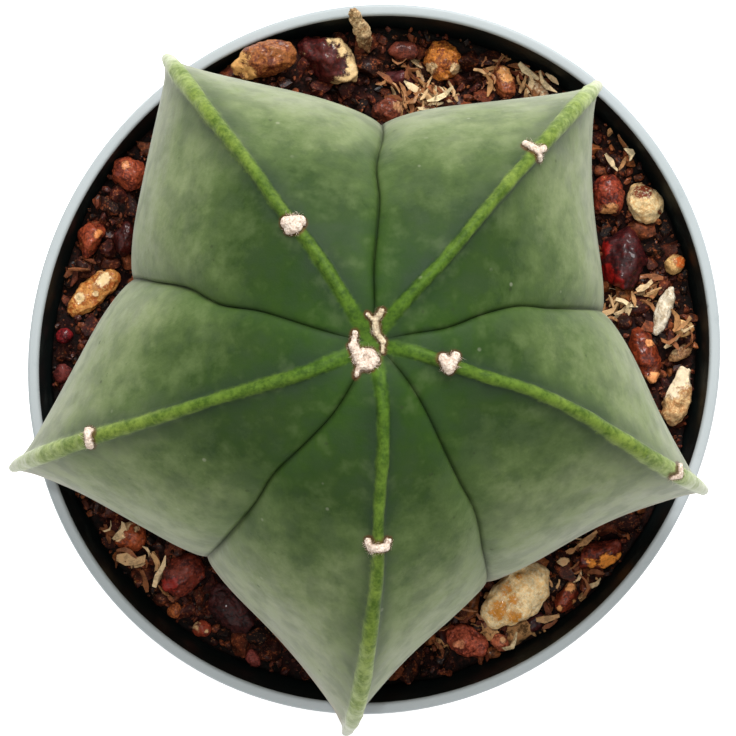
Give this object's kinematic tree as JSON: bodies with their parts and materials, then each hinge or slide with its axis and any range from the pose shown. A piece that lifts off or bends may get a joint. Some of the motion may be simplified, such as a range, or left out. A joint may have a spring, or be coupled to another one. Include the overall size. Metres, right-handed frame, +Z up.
{
  "type": "potted bishop's cap cactus",
  "caption": "Star-shaped ribbed cactus with woolly areoles in a round nursery pot with stones on its soil; rests on its flat base.",
  "frame": {"origin": "middle of the pot's flat base, on the surface that it stands on", "axes": "+Z up through the plant; +X to the picture's right and +Y to its top, as seen from above"},
  "size_m": [0.0706, 0.0725, 0.1002],
  "materials": {
    "pot_plastic": "pale blue-grey satin plastic, nearly black inside",
    "soil": "dark damp peat with grit",
    "cactus_skin": "smooth grey-green bloomed skin with yellow-green crests and cream wool",
    "tan_stone": "tan pebble, damp sheen",
    "cream_stone": "cream porous stone with orange stains",
    "rust_stone": "red-brown rough lava stone",
    "maroon_stone": "dark maroon damp stone",
    "orange_stone": "orange-brown pumice",
    "bark": "pale bark flake"
  },
  "bodies": {
    "root": {"pot": "pot_plastic", "soil": "soil", "cactus": "cactus_skin", "stone_tan": "tan_stone", "stone_maroon_cream": "maroon_stone", "chip_over_rim": "cream_stone", "stone_red_brown": "rust_stone", "stone_oval": "maroon_stone", "stone_orange": "orange_stone", "bark_flake": "bark", "bark_block": "rust_stone", "stone_orange_brown": "orange_stone", "chip_cream_slanted": "cream_stone", "stone_rust_right": "rust_stone", "stone_cream_round": "cream_stone", "stone_dark_red": "maroon_stone", "chip_tan_twisted": "tan_stone", "chip_white_long": "cream_stone", "chip_tan_three_sided": "tan_stone", "chip_brown": "tan_stone", "stone_glossy_red": "rust_stone", "stone_cream_long": "cream_stone", "stone_pale_large": "cream_stone", "stone_brick": "rust_stone", "chip_brick": "rust_stone", "stone_maroon_small": "maroon_stone", "chip_orange_brown": "orange_stone", "stone_orange_red": "orange_stone", "chip_tan_white": "tan_stone", "stone_red_large": "rust_stone", "stone_rust_round": "rust_stone", "stone_rust_left": "rust_stone", "stone_dark_left": "maroon_stone", "stone_yellow": "cream_stone", "grain_crimson": "maroon_stone", "grain_red_left": "rust_stone", "stone_dark_slab": "maroon_stone", "grain_cream_rimmed": "rust_stone", "grain_red_low": "rust_stone", "grain_ochre": "orange_stone"}
  },
  "joints": []
}
